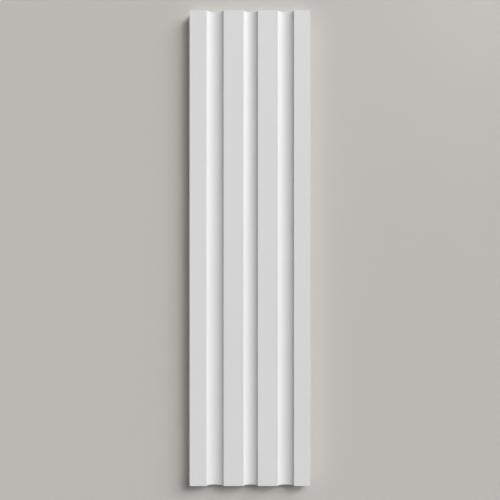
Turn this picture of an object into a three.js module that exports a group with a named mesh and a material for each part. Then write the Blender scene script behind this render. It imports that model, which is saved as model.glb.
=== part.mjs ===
// Fluted pilaster shaft: a flat-backed moulded strip with flutes let into its face, cut square at both ends.
// Millimetres, +Z up along the shaft. The back lies in the plane y = 0 and the face looks along -Y.
// The origin is the middle of the back, where the shaft is fixed to its wall.

import * as THREE from "three";

// Driving sizes in millimetres
const SHAFT_LENGTH = 592;
const BACKING_THICKNESS = 10; // solid left behind the deepest line of the flutes
const FLUTE_DEPTH = 5; // from the face to the deepest line of each flute
const ARRIS_RADIUS = 0.1; // the easing of each long edge of the face

// The face from left to right. Its flutes are not all of one width, and the middle one is the narrowest.
const LEFT_MARGIN = 21.2;
const LEFT_FLUTE = 21.2;
const LEFT_FILLET = 24.8;
const MIDDLE_FLUTE = 17.8;
const RIGHT_FILLET = 24.8;
const RIGHT_FLUTE = 20.2;
const RIGHT_MARGIN = 20.0;

// How finely the curves are faceted
const FLUTE_SEGMENTS = 24;
const ARRIS_SEGMENTS = 4;

// Sizes that follow from the driving ones
const SHAFT_WIDTH =
  LEFT_MARGIN + LEFT_FLUTE + LEFT_FILLET + MIDDLE_FLUTE + RIGHT_FILLET + RIGHT_FLUTE + RIGHT_MARGIN;
const SHAFT_DEPTH = BACKING_THICKNESS + FLUTE_DEPTH;
const FACE_Y = -SHAFT_DEPTH;
const SPRING_Y = FACE_Y + ARRIS_RADIUS; // where the eased arris ends and the flute's own curve begins

// Each flute as the width of the flat band on its left and its own width
const FLUTES = [
  { flatBefore: LEFT_MARGIN, width: LEFT_FLUTE },
  { flatBefore: LEFT_FILLET, width: MIDDLE_FLUTE },
  { flatBefore: RIGHT_FILLET, width: RIGHT_FLUTE },
];

const paintedMoulding = new THREE.MeshStandardMaterial({
  name: "painted_moulding",
  color: 0xe9e9e7,
  roughness: 0.6,
  metalness: 0,
});

// Points along a stretch of an ellipse whose axes lie along X and Y, from one angle to the other.
function ellipsePoints(centreX, centreY, radiusX, radiusY, startAngle, endAngle, segments) {
  const clockwise = endAngle < startAngle;
  const curve = new THREE.EllipseCurve(
    centreX, centreY, radiusX, radiusY, startAngle, endAngle, clockwise,
  );
  return curve.getPoints(segments);
}

// The easing where a wall comes down to the face and the flat begins on the wall's right.
function arrisIntoFlat(wallX) {
  return ellipsePoints(
    wallX + ARRIS_RADIUS, SPRING_Y, ARRIS_RADIUS, ARRIS_RADIUS,
    Math.PI, 1.5 * Math.PI, ARRIS_SEGMENTS,
  );
}

// The easing where the flat ends and a wall goes up from the face, away from the viewer.
function arrisOutOfFlat(wallX) {
  return ellipsePoints(
    wallX - ARRIS_RADIUS, SPRING_Y, ARRIS_RADIUS, ARRIS_RADIUS,
    1.5 * Math.PI, 2 * Math.PI, ARRIS_SEGMENTS,
  );
}

// Half an ellipse across one flute. Its two end points already belong to the arrises beside it.
function fluteCurve(leftX, width) {
  const halfWidth = width / 2;
  const sag = FLUTE_DEPTH - ARRIS_RADIUS;
  const points = ellipsePoints(
    leftX + halfWidth, SPRING_Y, halfWidth, sag,
    Math.PI, 0, FLUTE_SEGMENTS,
  );
  return points.slice(1, -1);
}

// The outline of the shaft cut across: back, left side, face with its flutes from left to right, right side.
function sectionOutline() {
  const leftSide = -SHAFT_WIDTH / 2;
  const rightSide = SHAFT_WIDTH / 2;
  const outline = [new THREE.Vector2(leftSide, 0), ...arrisIntoFlat(leftSide)];
  let x = leftSide;
  for (const { flatBefore, width } of FLUTES) {
    const fluteLeft = x + flatBefore;
    const fluteRight = fluteLeft + width;
    outline.push(...arrisOutOfFlat(fluteLeft), ...fluteCurve(fluteLeft, width), ...arrisIntoFlat(fluteRight));
    x = fluteRight;
  }
  outline.push(...arrisOutOfFlat(rightSide), new THREE.Vector2(rightSide, 0));
  return new THREE.Shape(outline);
}

// The whole shaft in one piece: the section carried along its length.
function buildShaft() {
  const geometry = new THREE.ExtrudeGeometry(sectionOutline(), {
    depth: SHAFT_LENGTH,
    bevelEnabled: false,
  });
  const shaft = new THREE.Mesh(geometry, paintedMoulding);
  shaft.name = "pilaster_shaft";
  shaft.position.z = -SHAFT_LENGTH / 2;
  return shaft;
}

const pilaster = new THREE.Group();
pilaster.name = "pilaster";
pilaster.add(buildShaft());

export default pilaster;
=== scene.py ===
"""A fluted pilaster shaft in white paint, fixed flat on a plain warm grey wall.

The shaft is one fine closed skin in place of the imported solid: smooth flutes, eased arrises and eased saw
cuts, with a sprayed face, sawn ends and a moulded back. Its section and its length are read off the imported
solid, so only the fineness of the skin and the easing of the saw cuts are set here. Lengths are metres, +Z
runs up the shaft and its face looks along -Y.
"""

import logging
import math
from dataclasses import dataclass
from enum import Enum

import bpy
import numpy as np
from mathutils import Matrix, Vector


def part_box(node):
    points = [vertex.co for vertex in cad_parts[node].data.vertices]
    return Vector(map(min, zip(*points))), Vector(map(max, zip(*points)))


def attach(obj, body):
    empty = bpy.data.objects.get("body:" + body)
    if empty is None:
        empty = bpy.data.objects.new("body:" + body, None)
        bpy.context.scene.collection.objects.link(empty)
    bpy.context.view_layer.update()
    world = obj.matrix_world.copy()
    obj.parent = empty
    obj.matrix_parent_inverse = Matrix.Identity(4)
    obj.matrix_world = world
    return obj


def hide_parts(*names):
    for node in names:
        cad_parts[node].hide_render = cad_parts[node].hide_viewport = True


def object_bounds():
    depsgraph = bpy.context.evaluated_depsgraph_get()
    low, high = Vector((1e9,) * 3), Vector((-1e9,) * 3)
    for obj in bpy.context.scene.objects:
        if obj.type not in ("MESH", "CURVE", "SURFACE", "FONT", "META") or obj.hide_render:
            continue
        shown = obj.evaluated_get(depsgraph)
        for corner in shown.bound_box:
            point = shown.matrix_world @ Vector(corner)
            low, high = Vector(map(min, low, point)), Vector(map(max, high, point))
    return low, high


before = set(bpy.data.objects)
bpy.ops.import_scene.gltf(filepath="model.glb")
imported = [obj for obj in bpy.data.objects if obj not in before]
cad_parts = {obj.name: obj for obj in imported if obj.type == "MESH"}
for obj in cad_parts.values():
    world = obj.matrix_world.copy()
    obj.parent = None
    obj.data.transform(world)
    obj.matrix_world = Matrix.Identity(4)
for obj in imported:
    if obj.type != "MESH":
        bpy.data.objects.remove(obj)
cad_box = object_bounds()

MM = 0.001
SHAFT_NODE = "pilaster_shaft"

# The point attribute that holds each point's distance from the nearest arris
ARRIS_GAP = "arris_gap"

# Nearly all values of a noise lie between these two
NOISE_LOW = 0.3
NOISE_HIGH = 0.7

log = logging.getLogger("pilaster")

Colour = tuple[float, float, float]
Spot = tuple[float, float, float]
Stretch = tuple[float, float, float]
Pair = tuple[float, float]


class Zone(Enum):
    """The stretches of the shaft's skin with a finish of their own. Each value is its material index."""

    FACE = 0
    SAWN_END = 1
    BACK = 2


class ColourMix(Enum):
    """Where a Mix node has its sockets for colours, among those that it has for other kinds of value."""

    FACTOR = 0
    FIRST = 6
    SECOND = 7
    RESULT = 2


def ellipse_arc(centre: Pair, radii: Pair, start: float, end: float, steps: int) -> np.ndarray:
    """Lays points along a stretch of an ellipse whose axes lie along X and Y.

    Each point is the centre plus the X radius times the cosine and the Y radius times the sine of an angle
    that goes evenly from start to end.

    Args:
        centre: the ellipse's centre.
        radii: its X and Y radii.
        start: the first angle in radians.
        end: the last angle in radians.
        steps: how many segments the stretch has.

    Returns:
        The points, one (x, y) row each, both ends included.
    """
    angle = np.linspace(start, end, steps + 1)
    return np.column_stack((centre[0] + radii[0] * np.cos(angle), centre[1] + radii[1] * np.sin(angle)))


@dataclass(frozen=True)
class Flute:
    """One flute by the places of its two arrises across the shaft.

    Attributes:
        left: where the left arris stands.
        right: where the right arris stands.
    """

    left: float
    right: float


@dataclass(frozen=True)
class ShaftSection:
    """The shaft cut across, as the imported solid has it.

    Attributes:
        left: the X of the left side.
        right: the X of the right side.
        face: the Y of the flat bands of the face.
        back: the Y of the back.
        flute_floor: the Y of the deepest line of the flutes.
        arris: the radius that eases each long edge.
        flutes: the flutes from left to right.
        touch: how close together two places count as one.
        arris_steps: how many segments each arris has.
        flute_steps: how many segments the curve of each flute has.
        flat_steps: how many segments each flat band has.
        flat_margin: how far in from its arrises the band's outer points stand.
    """

    left: float
    right: float
    face: float
    back: float
    flute_floor: float
    arris: float
    flutes: tuple[Flute, ...]
    touch: float = 0.002 * MM
    arris_steps: int = 6
    flute_steps: int = 64
    flat_steps: int = 5
    flat_margin: float = 0.2 * MM

    @classmethod
    def from_node(cls, node: str) -> "ShaftSection":
        """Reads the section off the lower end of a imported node.

        The points of the end that lie in the face's plane come in pairs, the two ends of each flat band.
        A flute lies between two bands, one arris radius in from each, and the radius is how far the sides
        stop short of the face.

        Args:
            node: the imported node's name.

        Returns:
            The section.
        """
        low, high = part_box(node)
        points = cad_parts[node].data.vertices
        flat = np.empty(len(points) * 3, np.float32)
        points.foreach_get("co", flat)
        spots = flat.reshape(-1, 3).astype(float)
        end = spots[np.abs(spots[:, 2] - low.z) < cls.touch]
        side = end[np.abs(end[:, 0] - low.x) < cls.touch]
        arris = side[:, 1].min() - low.y
        in_face = np.sort(end[np.abs(end[:, 1] - low.y) < cls.touch][:, 0])
        first_of_each = np.append(True, np.diff(in_face) > cls.touch)
        bands = in_face[first_of_each].reshape(-1, 2)
        lefts = bands[:-1, 1] + arris
        rights = bands[1:, 0] - arris
        in_flutes = (end[:, 0] > lefts[0] + cls.touch) & (end[:, 0] < rights[-1] - cls.touch)
        return cls(
            left=low.x,
            right=high.x,
            face=low.y,
            back=high.y,
            flute_floor=float(end[in_flutes][:, 1].max()),
            arris=float(arris),
            flutes=tuple(Flute(float(a), float(b)) for a, b in zip(lefts, rights)),
        )

    def _arris_into_flat(self, wall: float) -> np.ndarray:
        """The quarter circle from a wall at this X down onto the flat on its right."""
        centre = (wall + self.arris, self.face + self.arris)
        return ellipse_arc(centre, (self.arris, self.arris), math.pi, 1.5 * math.pi, self.arris_steps)

    def _arris_out_of_flat(self, wall: float) -> np.ndarray:
        """The quarter circle from a flat up into a wall at this X on its right."""
        centre = (wall - self.arris, self.face + self.arris)
        return ellipse_arc(centre, (self.arris, self.arris), 1.5 * math.pi, 2 * math.pi, self.arris_steps)

    def _flute_curve(self, flute: Flute) -> np.ndarray:
        """The half ellipse across a flute, without the two ends that its arrises already have."""
        spring = self.face + self.arris
        radii = ((flute.right - flute.left) / 2, self.flute_floor - spring)
        centre = ((flute.left + flute.right) / 2, spring)
        return ellipse_arc(centre, radii, math.pi, 0.0, self.flute_steps)[1:-1]

    def _flat_band(self, left: float, right: float) -> np.ndarray:
        """Even points inside a flat band, the outer two close to its arrises so that it shades as flat."""
        x = np.linspace(left + self.flat_margin, right - self.flat_margin, self.flat_steps + 1)
        return np.column_stack((x, np.full_like(x, self.face)))

    def front_line(self) -> np.ndarray:
        """Draws the front of the section from the left side to the right side.

        Returns:
            The points, one (x, y) row each, with X never falling.
        """
        runs = [self._arris_into_flat(self.left)]
        band_start = self.left + self.arris
        for flute in self.flutes:
            runs.append(self._flat_band(band_start, flute.left - self.arris))
            runs.append(self._arris_out_of_flat(flute.left))
            runs.append(self._flute_curve(flute))
            runs.append(self._arris_into_flat(flute.right))
            band_start = flute.right + self.arris
        runs.append(self._flat_band(band_start, self.right - self.arris))
        runs.append(self._arris_out_of_flat(self.right))
        return np.concatenate(runs)

    def back_line(self, front: np.ndarray) -> np.ndarray:
        """Puts a point of the back behind each point of the front.

        The back is flat, and its two corners mirror the outer arrises of the face, so each stands in from
        the back as far as its partner stands in from the face.

        Args:
            front: the points of the front line.

        Returns:
            The points of the back line in the same order.
        """
        back = np.column_stack((front[:, 0], np.full(len(front), self.back)))
        corner = (front[:, 0] < self.left + self.arris) | (front[:, 0] > self.right - self.arris)
        back[corner, 1] -= front[corner, 1] - self.face
        return back

    def arris_gap(self, points: np.ndarray) -> np.ndarray:
        """Measures how far each point is from the nearest long edge of the face, within the section.

        Args:
            points: (x, y, z) rows.

        Returns:
            One distance for each row.
        """
        edges = [self.left, self.right]
        edges += [edge for flute in self.flutes for edge in (flute.left, flute.right)]
        across = points[:, 0, None] - np.array(edges)[None, :]
        return np.hypot(across, points[:, 1, None] - self.face).min(axis=1)


@dataclass(frozen=True)
class Cloud:
    """A cloud of noise on an object's own coordinates. Its values go from 0 to 1 around a half.

    Attributes:
        grain: the size of its blots.
        stretch: how much closer the blots come along X, Y and Z; under 1 draws them out.
        detail: how many finer layers it has.
        shift: how far it is moved along each axis, so that two clouds of one grain differ.
    """

    grain: float
    stretch: Stretch = (1.0, 1.0, 1.0)
    detail: float = 2.0
    shift: float = 0.0


@dataclass(frozen=True)
class CutBubbles:
    """Round bubbles in the core, each with a radius of its own, where the surface cuts through them.

    A bubble fills the middle of a cell of a Voronoi pattern in space. A point's depth in it is 1 minus its
    distance from the middle over the bubble's radius.

    Attributes:
        spacing: about how far apart their middles are.
        largest: the radius of the largest.
        smallest_share: the radius of the smallest as a share of the largest.
        dark_by: the depth from which a bubble has its full painted shade.
        hollow_share: how far its middle is hollowed out, as a share of the largest radius.
    """

    spacing: float
    largest: float
    smallest_share: float = 0.2
    dark_by: float = 0.5
    hollow_share: float = 0.5


@dataclass(frozen=True)
class NodeBench:
    """A material under way, with its shader and the object's own coordinates at hand.

    Attributes:
        material: the material that is being made.
    """

    material: bpy.types.Material

    @classmethod
    def start(cls, name: str) -> "NodeBench":
        """Makes an empty node material with a Principled shader on its output."""
        material = bpy.data.materials.new(name)
        material.use_nodes = True
        return cls(material)

    @property
    def shader(self) -> bpy.types.Node:
        """The Principled shader."""
        return self.material.node_tree.nodes["Principled BSDF"]

    @property
    def output(self) -> bpy.types.Node:
        """The material's output."""
        return self.material.node_tree.nodes["Material Output"]

    def add(self, kind: str) -> bpy.types.Node:
        """Adds a node of this kind."""
        return self.material.node_tree.nodes.new(kind)

    def link(self, source: bpy.types.NodeSocket, target: bpy.types.NodeSocket) -> None:
        """Joins an output to an input."""
        self.material.node_tree.links.new(source, target)

    def feed(self, name: str, source: bpy.types.NodeSocket) -> None:
        """Joins an output to the shader's socket of this name."""
        self.link(source, self.shader.inputs[name])

    def plain(self, **values: float | Colour) -> None:
        """Sets values on the shader's own sockets, with underscores for the spaces in their names."""
        for name, value in values.items():
            socket = self.shader.inputs[name.replace("_", " ")]
            socket.default_value = (*value, 1.0) if isinstance(value, tuple) else value

    def noise(self, cloud: Cloud) -> bpy.types.NodeSocket:
        """Adds a cloud of noise and gives its value."""
        place = self.add("ShaderNodeTexCoord")
        mapping = self.add("ShaderNodeMapping")
        mapping.inputs["Location"].default_value = (cloud.shift, cloud.shift, cloud.shift)
        mapping.inputs["Scale"].default_value = cloud.stretch
        texture = self.add("ShaderNodeTexNoise")
        texture.inputs["Scale"].default_value = 1.0 / cloud.grain
        texture.inputs["Detail"].default_value = cloud.detail
        self.link(place.outputs["Object"], mapping.inputs["Vector"])
        self.link(mapping.outputs["Vector"], texture.inputs["Vector"])
        return texture.outputs["Fac"]

    def bubble_depth(self, bubbles: CutBubbles) -> bpy.types.NodeSocket:
        """Adds bubbles and gives the depth in them, 1 in the middle and 0 at the rim and outside."""
        place = self.add("ShaderNodeTexCoord")
        cells = self.add("ShaderNodeTexVoronoi")
        cells.inputs["Scale"].default_value = 1.0 / bubbles.spacing
        self.link(place.outputs["Object"], cells.inputs["Vector"])
        chance = self.add("ShaderNodeSeparateColor")
        self.link(cells.outputs["Color"], chance.inputs["Color"])
        smallest = bubbles.smallest_share * bubbles.largest / bubbles.spacing
        radius = self.spread(chance.outputs["Red"], smallest, bubbles.largest / bubbles.spacing, 0.0, 1.0)
        ratio = self.add("ShaderNodeMath")
        ratio.operation = "DIVIDE"
        self.link(cells.outputs["Distance"], ratio.inputs[0])
        self.link(radius, ratio.inputs[1])
        return self.spread(ratio.outputs["Value"], 1.0, 0.0, 0.0, 1.0)

    def open_bubbles(
        self,
        bubbles: CutBubbles,
        tone: bpy.types.NodeSocket,
        bubble_shade: Colour,
        under: bpy.types.NodeSocket,
    ) -> tuple[bpy.types.NodeSocket, bpy.types.NodeSocket]:
        """Opens bubbles in a surface, with painted shade down in them.

        Args:
            bubbles: the bubbles.
            tone: the surface's colour.
            bubble_shade: the darker colour painted down in the bubbles as their shade.
            under: the surface's bumped normal.

        Returns:
            The colour, with painted shade in the bubbles, and the bumped normal with the bubbles in them.
        """
        depth = self.bubble_depth(bubbles)
        # Painted shade: the colour darkens from each bubble's rim down into it, in place of the shadow
        # there.
        inside = self.spread(depth, 0.0, 1.0, 0.0, bubbles.dark_by)
        height = self.spread(depth, 1.0, 0.0, 0.0, 1.0)
        hollowed = self.bump(height, bubbles.hollow_share * bubbles.largest, under)
        return self.blend(inside, tone, bubble_shade), hollowed

    def spread(
        self,
        value: bpy.types.NodeSocket,
        low: float,
        high: float,
        from_low: float = NOISE_LOW,
        from_high: float = NOISE_HIGH,
    ) -> bpy.types.NodeSocket:
        """Maps a value onto a new range, clamped at both ends.

        Args:
            value: the value to map.
            low: what from_low becomes.
            high: what from_high becomes.
            from_low: the low end of the value's own range.
            from_high: the high end of the value's own range.

        Returns:
            The mapped value.
        """
        node = self.add("ShaderNodeMapRange")
        node.inputs["From Min"].default_value = from_low
        node.inputs["From Max"].default_value = from_high
        node.inputs["To Min"].default_value = low
        node.inputs["To Max"].default_value = high
        self.link(value, node.inputs["Value"])
        return node.outputs["Result"]

    def blend(
        self,
        amount: bpy.types.NodeSocket,
        first: Colour | bpy.types.NodeSocket,
        second: Colour,
    ) -> bpy.types.NodeSocket:
        """Mixes two colours.

        Args:
            amount: 0 gives the first and 1 the second.
            first: a colour, or the output that gives it.
            second: a colour.

        Returns:
            The mixed colour.
        """
        node = self.add("ShaderNodeMix")
        node.data_type = "RGBA"
        self.link(amount, node.inputs[ColourMix.FACTOR.value])
        if isinstance(first, tuple):
            node.inputs[ColourMix.FIRST.value].default_value = (*first, 1.0)
        else:
            self.link(first, node.inputs[ColourMix.FIRST.value])
        node.inputs[ColourMix.SECOND.value].default_value = (*second, 1.0)
        return node.outputs[ColourMix.RESULT.value]

    def bump(
        self,
        height: bpy.types.NodeSocket,
        depth: float,
        under: bpy.types.NodeSocket | None = None,
    ) -> bpy.types.NodeSocket:
        """Turns a height into a bump, laid over another bump if one is given.

        Args:
            height: the height, from 0 to 1.
            depth: how far 1 stands above 0 in metres.
            under: the bumped normal that it is laid over.

        Returns:
            The bumped normal.
        """
        node = self.add("ShaderNodeBump")
        node.inputs["Strength"].default_value = 1.0
        node.inputs["Distance"].default_value = depth
        self.link(height, node.inputs["Height"])
        if under is not None:
            self.link(under, node.inputs["Normal"])
        return node.outputs["Normal"]


@dataclass(frozen=True)
class SprayedPaint:
    """White satin paint sprayed on the face and sides of the moulding.

    Attributes:
        white: the paint at full thickness.
        shade: the least bright that its clouding makes it.
        thin: the paint where it pulls back from an arris.
        thin_share: how much of the thin tone shows at the arris itself.
        thin_reach: how far from an arris it is thin.
        specular: how strongly it mirrors, where a half is usual.
        roughness: how dull its smoothest and its dullest spots are.
        clouding: the slow drift of its tone, drawn out lengthwise.
        specks: its fine smooth and dull spots.
        draw: the faint lengthwise draw of the moulding under the paint.
        draw_depth: its depth.
        peel: the orange peel of the sprayed coat.
        peel_depth: its depth.
    """

    white: Colour = (0.788, 0.788, 0.786)
    shade: Colour = (0.774, 0.774, 0.771)
    thin: Colour = (0.761, 0.758, 0.749)
    thin_share: float = 0.8
    thin_reach: float = 0.5 * MM
    specular: float = 0.4
    roughness: Pair = (0.44, 0.56)
    clouding: Cloud = Cloud(90 * MM, stretch=(1.0, 1.0, 0.45), detail=3.0)
    specks: Cloud = Cloud(2.6 * MM, detail=3.0, shift=0.37)
    draw: Cloud = Cloud(1.1 * MM, stretch=(1.0, 1.0, 0.02), detail=1.0, shift=0.11)
    draw_depth: float = 0.006 * MM
    peel: Cloud = Cloud(1.7 * MM, stretch=(1.0, 1.0, 0.8), detail=1.5)
    peel_depth: float = 0.006 * MM

    def material(self) -> bpy.types.Material:
        """Makes the paint: clouded white, dull and glossy spots, orange peel over the moulding's draw."""
        bench = NodeBench.start("sprayed_paint")
        bench.plain(Specular_IOR_Level=self.specular)
        clouding = bench.spread(bench.noise(self.clouding), 0.0, 1.0)
        tone = bench.blend(clouding, self.white, self.shade)
        gap = bench.add("ShaderNodeAttribute")
        gap.attribute_name = ARRIS_GAP
        thinness = bench.spread(gap.outputs["Fac"], self.thin_share, 0.0, 0.0, self.thin_reach)
        bench.feed("Base Color", bench.blend(thinness, tone, self.thin))
        bench.feed("Roughness", bench.spread(bench.noise(self.specks), *self.roughness))
        draw = bench.bump(bench.noise(self.draw), self.draw_depth)
        bench.feed("Normal", bench.bump(bench.noise(self.peel), self.peel_depth, draw))
        return bench.material


@dataclass(frozen=True)
class SawnCore:
    """The moulding's pale core where a fine saw cut it square.

    Attributes:
        core: the core's colour.
        pore_shade: the darker colour painted down in its pores and bubbles as their shade.
        specular: how strongly it mirrors, where a half is usual.
        roughness: how dull its pores are, and what lies between them.
        pores: the cloud whose low spots are pores.
        pore_span: the cloud's values at the floor and at the rim of each of its pores.
        pore_depth: the depth of the pores.
        bubbles: the larger bubbles that the saw opened.
        kerf: the saw's scores, drawn out straight across the thickness.
        kerf_depth: their depth.
    """

    core: Colour = (0.79, 0.785, 0.765)
    pore_shade: Colour = (0.66, 0.65, 0.62)
    specular: float = 0.25
    roughness: Pair = (0.82, 0.68)
    pores: Cloud = Cloud(0.55 * MM, detail=4.0)
    pore_span: Pair = (0.28, 0.45)
    pore_depth: float = 0.03 * MM
    bubbles: CutBubbles = CutBubbles(spacing=2.6 * MM, largest=0.55 * MM)
    kerf: Cloud = Cloud(0.7 * MM, stretch=(1.0, 0.04, 1.0), shift=0.23)
    kerf_depth: float = 0.05 * MM

    def material(self) -> bpy.types.Material:
        """Makes the cut core: fine pores and cut bubbles with painted shade down in them, and scores
        straight across the thickness.
        """
        bench = NodeBench.start("sawn_core")
        bench.plain(Specular_IOR_Level=self.specular)
        pores = bench.noise(self.pores)
        # Painted shade: the low spots of the pore cloud darken towards the pores' colour, in place of the
        # shadow in them.
        tone = bench.blend(bench.spread(pores, 1.0, 0.0, *self.pore_span), self.core, self.pore_shade)
        under = bench.bump(bench.noise(self.kerf), self.kerf_depth)
        under = bench.bump(pores, self.pore_depth, under)
        tone, normal = bench.open_bubbles(self.bubbles, tone, self.pore_shade, under)
        bench.feed("Base Color", tone)
        bench.feed("Roughness", bench.spread(pores, *self.roughness))
        bench.feed("Normal", normal)
        return bench.material


@dataclass(frozen=True)
class MouldedBack:
    """The unpainted back as it left the mould: pale, dull, faintly pitted, with small open bubbles.

    Attributes:
        skin: the colour of the back.
        warm: the warmer tone that it drifts to.
        bubble_shade: the darker colour painted down in its bubbles as their shade.
        specular: how strongly it mirrors, where a half is usual.
        roughness: how dull its pits are, and what lies between them.
        drift: the slow drift of its tone, drawn out lengthwise.
        streaks: the long streaks left by the bed of the mould.
        streak_depth: their depth.
        pits: the cloud whose low spots are pits.
        pit_span: the cloud's values at the floor and at the rim of a pit.
        pit_depth: the depth of the pits.
        bubbles: the bubbles that broke open at the back.
    """

    skin: Colour = (0.76, 0.755, 0.735)
    warm: Colour = (0.70, 0.69, 0.655)
    bubble_shade: Colour = (0.60, 0.59, 0.56)
    specular: float = 0.3
    roughness: Pair = (0.78, 0.62)
    drift: Cloud = Cloud(60 * MM, stretch=(1.0, 1.0, 0.3), detail=4.0)
    streaks: Cloud = Cloud(1.6 * MM, stretch=(1.0, 1.0, 0.015), detail=3.0, shift=0.29)
    streak_depth: float = 0.03 * MM
    pits: Cloud = Cloud(1.1 * MM, detail=4.0, shift=0.53)
    pit_span: Pair = (0.3, 0.5)
    pit_depth: float = 0.03 * MM
    bubbles: CutBubbles = CutBubbles(spacing=5.0 * MM, largest=1.0 * MM)

    def material(self) -> bpy.types.Material:
        """Makes the back: drifting tone, pits, open bubbles with painted shade in them, and the bed's
        lengthwise streaks.
        """
        bench = NodeBench.start("moulded_back")
        bench.plain(Specular_IOR_Level=self.specular)
        drift = bench.spread(bench.noise(self.drift), 0.0, 1.0)
        tone = bench.blend(drift, self.skin, self.warm)
        pits = bench.noise(self.pits)
        under = bench.bump(bench.noise(self.streaks), self.streak_depth)
        under = bench.bump(bench.spread(pits, 0.0, 1.0, *self.pit_span), self.pit_depth, under)
        # The bubbles open with painted shade: a darker colour down in them stands for their shadow.
        tone, normal = bench.open_bubbles(self.bubbles, tone, self.bubble_shade, under)
        bench.feed("Base Color", tone)
        bench.feed("Roughness", bench.spread(pits, *self.roughness))
        bench.feed("Normal", normal)
        return bench.material


@dataclass(frozen=True)
class WallPaint:
    """Flat warm grey paint, which shows on the front side of the wall and floor alone.

    Attributes:
        grey: the paint's colour.
        roughness: how dull it is.
        specular: how strongly it mirrors, where a half is usual.
    """

    grey: Colour = (0.590, 0.571, 0.539)
    roughness: float = 0.85
    specular: float = 0.2

    def material(self) -> bpy.types.Material:
        """Makes the paint, and leaves the sheet clear from behind, so that the shaft's back can be seen."""
        bench = NodeBench.start("wall_paint")
        bench.plain(Base_Color=self.grey, Roughness=self.roughness, Specular_IOR_Level=self.specular)
        side = bench.add("ShaderNodeNewGeometry")
        clear = bench.add("ShaderNodeBsdfTransparent")
        choice = bench.add("ShaderNodeMixShader")
        bench.link(side.outputs["Backfacing"], choice.inputs[0])
        bench.link(bench.shader.outputs["BSDF"], choice.inputs[1])
        bench.link(clear.outputs["BSDF"], choice.inputs[2])
        bench.link(choice.outputs["Shader"], bench.output.inputs["Surface"])
        return bench.material


def grid_quads(index: np.ndarray) -> np.ndarray:
    """Makes a quad of each cell of a grid of vertex numbers.

    Each quad goes from (i, j) to (i + 1, j), (i + 1, j + 1) and (i, j + 1), so where i runs along X and j
    along Y it faces +Z.

    Args:
        index: a two-dimensional array of vertex numbers.

    Returns:
        The quads, one row of four vertex numbers each.
    """
    corners = (index[:-1, :-1], index[1:, :-1], index[1:, 1:], index[:-1, 1:])
    return np.stack(corners, axis=-1).reshape(-1, 4)


def mesh_object(name: str, points: np.ndarray, quads: np.ndarray) -> bpy.types.Object:
    """Makes an object at the origin from points and quads.

    Args:
        name: the object's name.
        points: (x, y, z) rows in metres.
        quads: rows of four vertex numbers.

    Returns:
        The object, linked to the scene.
    """
    mesh = bpy.data.meshes.new(name)
    mesh.from_pydata(points, [], quads)
    mesh.validate()
    item = bpy.data.objects.new(name, mesh)
    bpy.context.scene.collection.objects.link(item)
    return item


@dataclass(frozen=True)
class SkinLayout:
    """How the points of the skin are numbered.

    The rings come first, from the bottom to the top. Each goes along the front from left to right, over
    the right side to the back, along the back from right to left, and over the left side to the front.
    Then come the points inside the bottom end and those inside the top end.

    Attributes:
        columns: how many points the front line has, and the back line too.
        lines: how many points a side has, its two corners included.
        levels: how many rings there are.
    """

    columns: int
    lines: int
    levels: int

    @property
    def back(self) -> slice:
        """The places in a ring of the points of the back, from right to left."""
        start = self.columns + self.lines - 2
        return slice(start, start + self.columns)

    @property
    def around(self) -> int:
        """How many points a ring has."""
        return 2 * (self.columns + self.lines - 2)

    @property
    def inside(self) -> int:
        """How many points lie inside each end."""
        return (self.columns - 2) * (self.lines - 2)

    def _end_numbers(self, rim: np.ndarray, first_inside: int) -> np.ndarray:
        """Sets out the numbers of an end as a grid, in which column i goes from the front to the back.

        Args:
            rim: the numbers of the end's ring.
            first_inside: the number of the first point inside the end.

        Returns:
            The grid of numbers.
        """
        inner = first_inside + np.arange(self.inside)
        numbers = np.zeros((self.columns, self.lines), int)
        numbers[1:-1, 1:-1] = inner.reshape(self.columns - 2, self.lines - 2)
        numbers[:, 0] = rim[:self.columns]
        numbers[-1, 1:-1] = rim[self.columns:self.back.start]
        numbers[::-1, -1] = rim[self.back]
        numbers[0, -2:0:-1] = rim[self.back.stop:]
        return numbers

    def quads(self) -> np.ndarray:
        """Joins the points into quads that face outward.

        Returns:
            The quads: the long surface column by column round the rings, then the bottom and the top end.
        """
        rings = np.arange(self.levels * self.around).reshape(self.levels, self.around)
        closed = np.concatenate((rings, rings[:, :1]), axis=1)
        bottom = self._end_numbers(rings[0], rings.size)
        top = self._end_numbers(rings[-1], rings.size + self.inside)
        return np.concatenate((grid_quads(closed.T), grid_quads(bottom)[:, ::-1], grid_quads(top)))

    def zones(self) -> np.ndarray:
        """Gives each quad its zone's number, in the order of the quads."""
        place_in_ring = np.repeat(np.arange(self.around), self.levels - 1)
        on_back = (place_in_ring >= self.back.start) & (place_in_ring < self.back.stop - 1)
        long_surface = np.where(on_back, Zone.BACK.value, Zone.FACE.value)
        ends = np.full(2 * (self.columns - 1) * (self.lines - 1), Zone.SAWN_END.value)
        return np.concatenate((long_surface, ends)).astype(np.int32)


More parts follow.
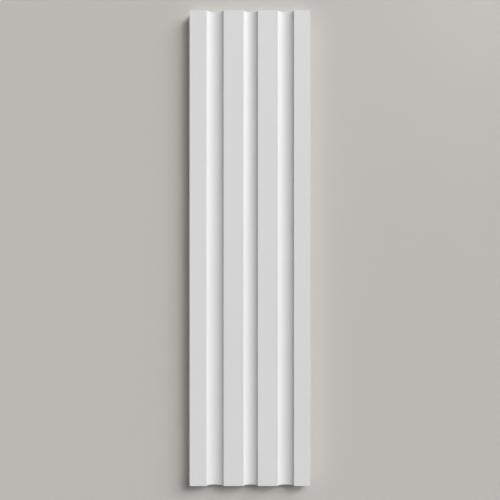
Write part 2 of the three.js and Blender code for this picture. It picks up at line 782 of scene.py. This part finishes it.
@dataclass
class Shaft:
    """The shaft itself: one closed skin from the section, carried up between its two saw cuts.

    Attributes:
        section: the shaft cut across.
        bottom: the Z of its lower end.
        top: the Z of its upper end.
        cut_easing: the radius that eases the rim of each end.
        cut_steps: how many segments that easing has.
        cut_margin: how many easing radii from each cut the even rings begin.
        stations: how many segments the length has between the margins.
        rows: how many rows of cells the thickness has.
        row_margin: the share of the thickness that the outer rows take, so that the sides shade as flat.
    """

    section: ShaftSection
    bottom: float
    top: float
    cut_easing: float = 0.08 * MM
    cut_steps: int = 4
    cut_margin: float = 2.0
    stations: int = 60
    rows: int = 8
    row_margin: float = 0.02

    @classmethod
    def from_node(cls, node: str) -> "Shaft":
        """Reads the shaft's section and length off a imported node."""
        low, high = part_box(node)
        return cls(ShaftSection.from_node(node), bottom=low.z, top=high.z)

    def _block(self, front: np.ndarray, back: np.ndarray) -> np.ndarray:
        """Fills an outline with a grid of points: column i goes from front point i to back point i."""
        between = np.linspace(self.row_margin, 1 - self.row_margin, self.rows - 1)
        share = np.concatenate(([0.0], between, [1.0]))
        return front[:, None, :] + (back - front)[:, None, :] * share[None, :, None]

    @staticmethod
    def _rim(grid: np.ndarray) -> np.ndarray:
        """Walks round a grid's edge: front, right side, back from right to left, and left side."""
        return np.concatenate((grid[:, 0], grid[-1, 1:-1], grid[::-1, -1], grid[0, -2:0:-1]))

    @staticmethod
    def _outward(ring: np.ndarray) -> np.ndarray:
        """The outward normal at each point of a ring, square to the line between its two neighbours."""
        along = np.roll(ring, -1, axis=0) - np.roll(ring, 1, axis=0)
        along /= np.linalg.norm(along, axis=1, keepdims=True)
        return np.column_stack((along[:, 1], -along[:, 0]))

    def _length_stations(self) -> tuple[np.ndarray, np.ndarray]:
        """Sets the heights of the rings and how far each is drawn in.

        In an easing at angle a from the cut, a ring stands the radius times (1 - cosine a) from the cut and
        is drawn in by the radius times (1 - sine a). Between the easings nothing is drawn in.

        Returns:
            The heights from bottom to top, and the draw-in at each.
        """
        angle = np.linspace(0.0, math.pi / 2, self.cut_steps + 1)
        rise = self.cut_easing * (1 - np.cos(angle))
        draw = self.cut_easing * (1 - np.sin(angle))
        margin = self.cut_margin * self.cut_easing
        run = np.linspace(self.bottom + margin, self.top - margin, self.stations + 1)
        height = np.concatenate((self.bottom + rise, run, (self.top - rise)[::-1]))
        inset = np.concatenate((draw, np.zeros_like(run), draw[::-1]))
        return height, inset

    def _points(self, layout: SkinLayout, rings: np.ndarray, height: np.ndarray) -> np.ndarray:
        """Sets out the skin's points in the order of the layout.

        Args:
            layout: how the points are numbered.
            rings: the (x, y) points of each ring, drawn in as its height asks.
            height: the height of each ring.

        Returns:
            The points, one (x, y, z) row each.
        """
        upright = np.broadcast_to(height[:, None, None], (layout.levels, layout.around, 1))
        runs = [np.concatenate((rings, upright), axis=2).reshape(-1, 3)]
        for rim, z in ((rings[0], self.bottom), (rings[-1], self.top)):
            end = self._block(rim[:layout.columns], rim[layout.back][::-1])
            inner = end[1:-1, 1:-1].reshape(-1, 2)
            runs.append(np.column_stack((inner, np.full(len(inner), z))))
        return np.concatenate(runs)

    def build(self) -> bpy.types.Object:
        """Builds the skin.

        A point of the long surface is a point of the section's ring drawn in along its own normal, at the
        height of its station. Each end is a grid between the front and the back of its own drawn-in ring.
        All of it shades smooth but the flat sawn ends.

        Returns:
            The shaft, undressed, with the distance from the nearest arris stored on its points.
        """
        front = self.section.front_line()
        ring = self._rim(self._block(front, self.section.back_line(front)))
        height, inset = self._length_stations()
        layout = SkinLayout(columns=len(front), lines=self.rows + 1, levels=len(height))
        rings = ring[None, :, :] - self._outward(ring)[None, :, :] * inset[:, None, None]
        points = self._points(layout, rings, height)
        item = mesh_object("pilaster_shaft_skin", points, layout.quads())
        zones = layout.zones()
        item.data.polygons.foreach_set("material_index", zones)
        item.data.polygons.foreach_set("use_smooth", zones != Zone.SAWN_END.value)
        item.data.update()
        gap = item.data.attributes.new(ARRIS_GAP, "FLOAT", "POINT")
        gap.data.foreach_set("value", self.section.arris_gap(points).astype(np.float32))
        return item

    def dress(self, item: bpy.types.Object) -> None:
        """Gives the skin its finishes, one for each zone, in the order of the zones' numbers."""
        finishes = {Zone.FACE: SprayedPaint(), Zone.SAWN_END: SawnCore(), Zone.BACK: MouldedBack()}
        for zone in Zone:
            item.data.materials.append(finishes[zone].material())

    def register(self, item: bpy.types.Object) -> None:
        """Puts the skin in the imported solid's place and on its body."""
        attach(item, "root")
        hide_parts(SHAFT_NODE)


@dataclass(frozen=True)
class Backdrop:
    """The wall that the shaft is fixed to, swept round into a pale floor well below.

    The wall has an opening just inside the shaft's outline, which the shaft fills, so that light from
    behind reaches the shaft's back. The floor is seen, but it sends the shaft no soft light and casts no
    shadow.

    Attributes:
        set_in: how far the wall stands in front of the shaft's back.
        lap: how far the wall runs in behind the shaft's sides.
        reach: how far the sheets go out to the sides, up and forward.
        floor_level: the floor's height.
        bend: the radius between wall and floor.
        bend_steps: how many segments the bend has.
    """

    set_in: float = 0.6 * MM
    lap: float = 0.5 * MM
    reach: float = 5.0
    floor_level: float = -1.5
    bend: float = 0.5
    bend_steps: int = 24

    def build(self, low: Vector, high: Vector) -> list[bpy.types.Object]:
        """Builds the wall round the shaft, and the floor with the bend that leads into it.

        Args:
            low: the lowest corner of the shaft's box.
            high: the highest corner of the shaft's box.

        Returns:
            The wall and the floor.
        """
        plane = high.y - self.set_in
        turn_top = self.floor_level + self.bend
        across = np.array([-self.reach, low.x + self.lap, high.x - self.lap, self.reach])
        heights = np.array([self.reach, high.z - self.lap, low.z + self.lap, turn_top])
        wall_line = np.column_stack((np.full_like(heights, plane), heights))
        wall_points, wall_quads = self._carry_across(across, wall_line)
        behind_shaft = len(wall_quads) // 2
        wall = mesh_object("wall", wall_points, np.delete(wall_quads, behind_shaft, axis=0))

        centre = (plane - self.bend, turn_top)
        turn = ellipse_arc(centre, (self.bend, self.bend), 0.0, -math.pi / 2, self.bend_steps)
        floor_line = np.concatenate((turn, [[plane - self.reach, self.floor_level]]))
        floor = mesh_object("floor", *self._carry_across(across[[0, -1]], floor_line))
        floor.visible_diffuse = False
        floor.visible_shadow = False
        floor.data.polygons.foreach_set("use_smooth", np.ones(len(floor.data.polygons), bool))
        paint = WallPaint().material()
        for sheet in (wall, floor):
            sheet.data.materials.append(paint)
        return [wall, floor]

    @staticmethod
    def _carry_across(across: np.ndarray, line: np.ndarray) -> tuple[np.ndarray, np.ndarray]:
        """Carries a line in the YZ plane across along X.

        Args:
            across: the X places, rising.
            line: the line's (y, z) rows, from the top of the wall downwards.

        Returns:
            The points, and quads that face forward and up.
        """
        points = np.empty((len(across), len(line), 3))
        points[:, :, 0] = across[:, None]
        points[:, :, 1:] = line[None, :, :]
        numbers = np.arange(len(across) * len(line)).reshape(len(across), len(line))
        return points.reshape(-1, 3), grid_quads(numbers)[:, ::-1]


def from_bearing(bearing: float, lean: float) -> Vector:
    """Points from the wall towards a light.

    Args:
        bearing: degrees round from +X towards +Z, as the wall is faced.
        lean: degrees away from straight out of the wall.

    Returns:
        The unit vector.
    """
    turn, tilt = math.radians(bearing), math.radians(lean)
    return Vector((math.sin(tilt) * math.cos(turn), -math.cos(tilt), math.sin(tilt) * math.sin(turn)))


@dataclass(frozen=True)
class FarSoftLight:
    """A large soft light so far off that it falls alike on the whole wall.

    Attributes:
        name: its name.
        bearing: degrees round from +X towards +Z, as the wall is faced.
        lean: degrees away from straight out of the wall.
        width: how wide it looks from the shaft in degrees.
        strength: its irradiance square on, in watts a square metre.
        marker_distance: how far off its marker stands, which changes nothing in its light.
    """

    name: str
    bearing: float
    lean: float
    width: float
    strength: float
    marker_distance: float = 3.0

    def place(self) -> bpy.types.Object:
        """Hangs the light and aims it at the shaft."""
        lamp = bpy.data.lights.new(self.name, "SUN")
        lamp.angle = math.radians(self.width)
        lamp.energy = self.strength
        item = bpy.data.objects.new(self.name, lamp)
        direction = from_bearing(self.bearing, self.lean)
        item.location = direction * self.marker_distance
        item.rotation_euler = (-direction).to_track_quat("-Z", "Y").to_euler()
        bpy.context.scene.collection.objects.link(item)
        return item


@dataclass(frozen=True)
class SquareSoftbox:
    """A square soft light at a real distance, hidden from the camera.

    Attributes:
        name: its name.
        stands: where it stands.
        aims_at: the point that it faces.
        side: the length of its sides.
        watts: its power.
    """

    name: str
    stands: Spot
    aims_at: Spot
    side: float
    watts: float

    def place(self) -> bpy.types.Object:
        """Hangs the light and turns it to the point that it faces."""
        lamp = bpy.data.lights.new(self.name, "AREA")
        lamp.size = self.side
        lamp.energy = self.watts
        item = bpy.data.objects.new(self.name, lamp)
        item.location = self.stands
        beam = Vector(self.aims_at) - Vector(self.stands)
        item.rotation_euler = beam.to_track_quat("-Z", "Y").to_euler()
        item.visible_camera = False
        bpy.context.scene.collection.objects.link(item)
        return item


@dataclass(frozen=True)
class Studio:
    """The light and the pale room around.

    One broad soft source stands high on the right, built up from overlapping parts: narrow parts make the
    dark line of the shadow at the shaft's foot, and wide and low ones its long soft edge. A wide fill comes
    from the left. A weak softbox close to the wall leaves a glow at its top right, and a strong one behind
    the wall lights the shaft's back.

    The far lights' strengths are the least-squares answer that brings the sum of one render for each of
    them nearest to the photograph's tones, rounded to two decimals. The glow's place and power were set
    after a search of the same kind.

    Attributes:
        room: the colour of the room, which is seen and mirrored but sends no soft light.
        lights: the lights that are hung.
    """

    room: Colour = (0.53, 0.52, 0.49)
    lights: tuple[FarSoftLight | SquareSoftbox, ...] = (
        FarSoftLight("key_heart", bearing=45, lean=50, width=8, strength=0.34),
        FarSoftLight("key_body", bearing=45, lean=50, width=20, strength=0.81),
        FarSoftLight("key_front", bearing=45, lean=35, width=20, strength=0.50),
        FarSoftLight("key_high", bearing=68, lean=50, width=20, strength=0.38),
        FarSoftLight("key_side", bearing=22, lean=64, width=20, strength=0.39),
        FarSoftLight("key_low", bearing=45, lean=64, width=20, strength=0.97),
        FarSoftLight("key_grazing", bearing=30, lean=77, width=20, strength=0.46),
        FarSoftLight("left_fill", bearing=180, lean=30, width=30, strength=0.59),
        SquareSoftbox(
            "wall_glow", stands=(0.34, -0.24, 0.37), aims_at=(0.34, 0.0, 0.37), side=0.12, watts=0.07,
        ),
        SquareSoftbox(
            "rear_softbox", stands=(1.1, 1.5, 1.3), aims_at=(0.0, 0.0, 0.0), side=1.2, watts=80,
        ),
    )

    def build(self) -> None:
        """Paints the room and hangs every light."""
        world = bpy.data.worlds.new("room")
        bpy.context.scene.world = world
        world.use_nodes = True
        background = world.node_tree.nodes["Background"]
        background.inputs["Color"].default_value = (*self.room, 1.0)
        world.cycles_visibility.diffuse = False
        for light in self.lights:
            light.place()
            log.info("light %s", light.name)


@dataclass(frozen=True)
class PhotoView:
    """The photograph's own view, straight at the face.

    Attributes:
        frame_px: the width and height of the photograph.
        shaft_width_px: the width of the shaft in it.
        shaft_centre_px: the middle of the shaft in it, from the left and from the top.
        distance: how far the camera stands from the face.
        sensor: the width of the camera's sensor in its usual millimetres.
    """

    frame_px: float = 500.0
    shaft_width_px: float = 120.53
    shaft_centre_px: Pair = (249.84, 248.22)
    distance: float = 0.737
    sensor: float = 36.0

    def build(self, low: Vector, high: Vector) -> bpy.types.Object:
        """Sets up the camera so that the shaft's face fills its own place in the frame.

        The lens is the sensor's width times the distance over the width that the frame spans at the face.
        An unturned camera looks down, so a quarter turn about X makes it look along +Y.

        Args:
            low: the lowest corner of the shaft's box.
            high: the highest corner of the shaft's box.

        Returns:
            The camera, which the scene then uses.
        """
        pixel = (high.x - low.x) / self.shaft_width_px
        middle = (low + high) / 2
        across = (self.frame_px / 2 - self.shaft_centre_px[0]) * pixel
        down = (self.frame_px / 2 - self.shaft_centre_px[1]) * pixel
        lens = bpy.data.cameras.new("photo_view")
        lens.sensor_width = self.sensor
        lens.lens = self.sensor * self.distance / (self.frame_px * pixel)
        camera = bpy.data.objects.new("photo_view", lens)
        camera.location = (middle.x + across, low.y - self.distance, middle.z - down)
        camera.rotation_euler = (math.pi / 2, 0.0, 0.0)
        bpy.context.scene.collection.objects.link(camera)
        bpy.context.scene.camera = camera
        bpy.context.scene.view_settings.view_transform = "Standard"
        return camera


def main() -> None:
    """Builds the shaft, the wall behind it, the light and the camera, in that order."""
    logging.basicConfig(level=logging.INFO, format="%(name)s: %(message)s")
    low, high = cad_box
    shaft = Shaft.from_node(SHAFT_NODE)
    skin = shaft.build()
    shaft.dress(skin)
    shaft.register(skin)
    log.info("%s: %d faces, flutes %s", skin.name, len(skin.data.polygons), shaft.section.flutes)
    for sheet in Backdrop().build(low, high):
        log.info("%s: %d faces", sheet.name, len(sheet.data.polygons))
    Studio().build()
    camera = PhotoView().build(low, high)
    log.info("%s: lens %.2f", camera.name, camera.data.lens)


if __name__ == "__main__":
    main()
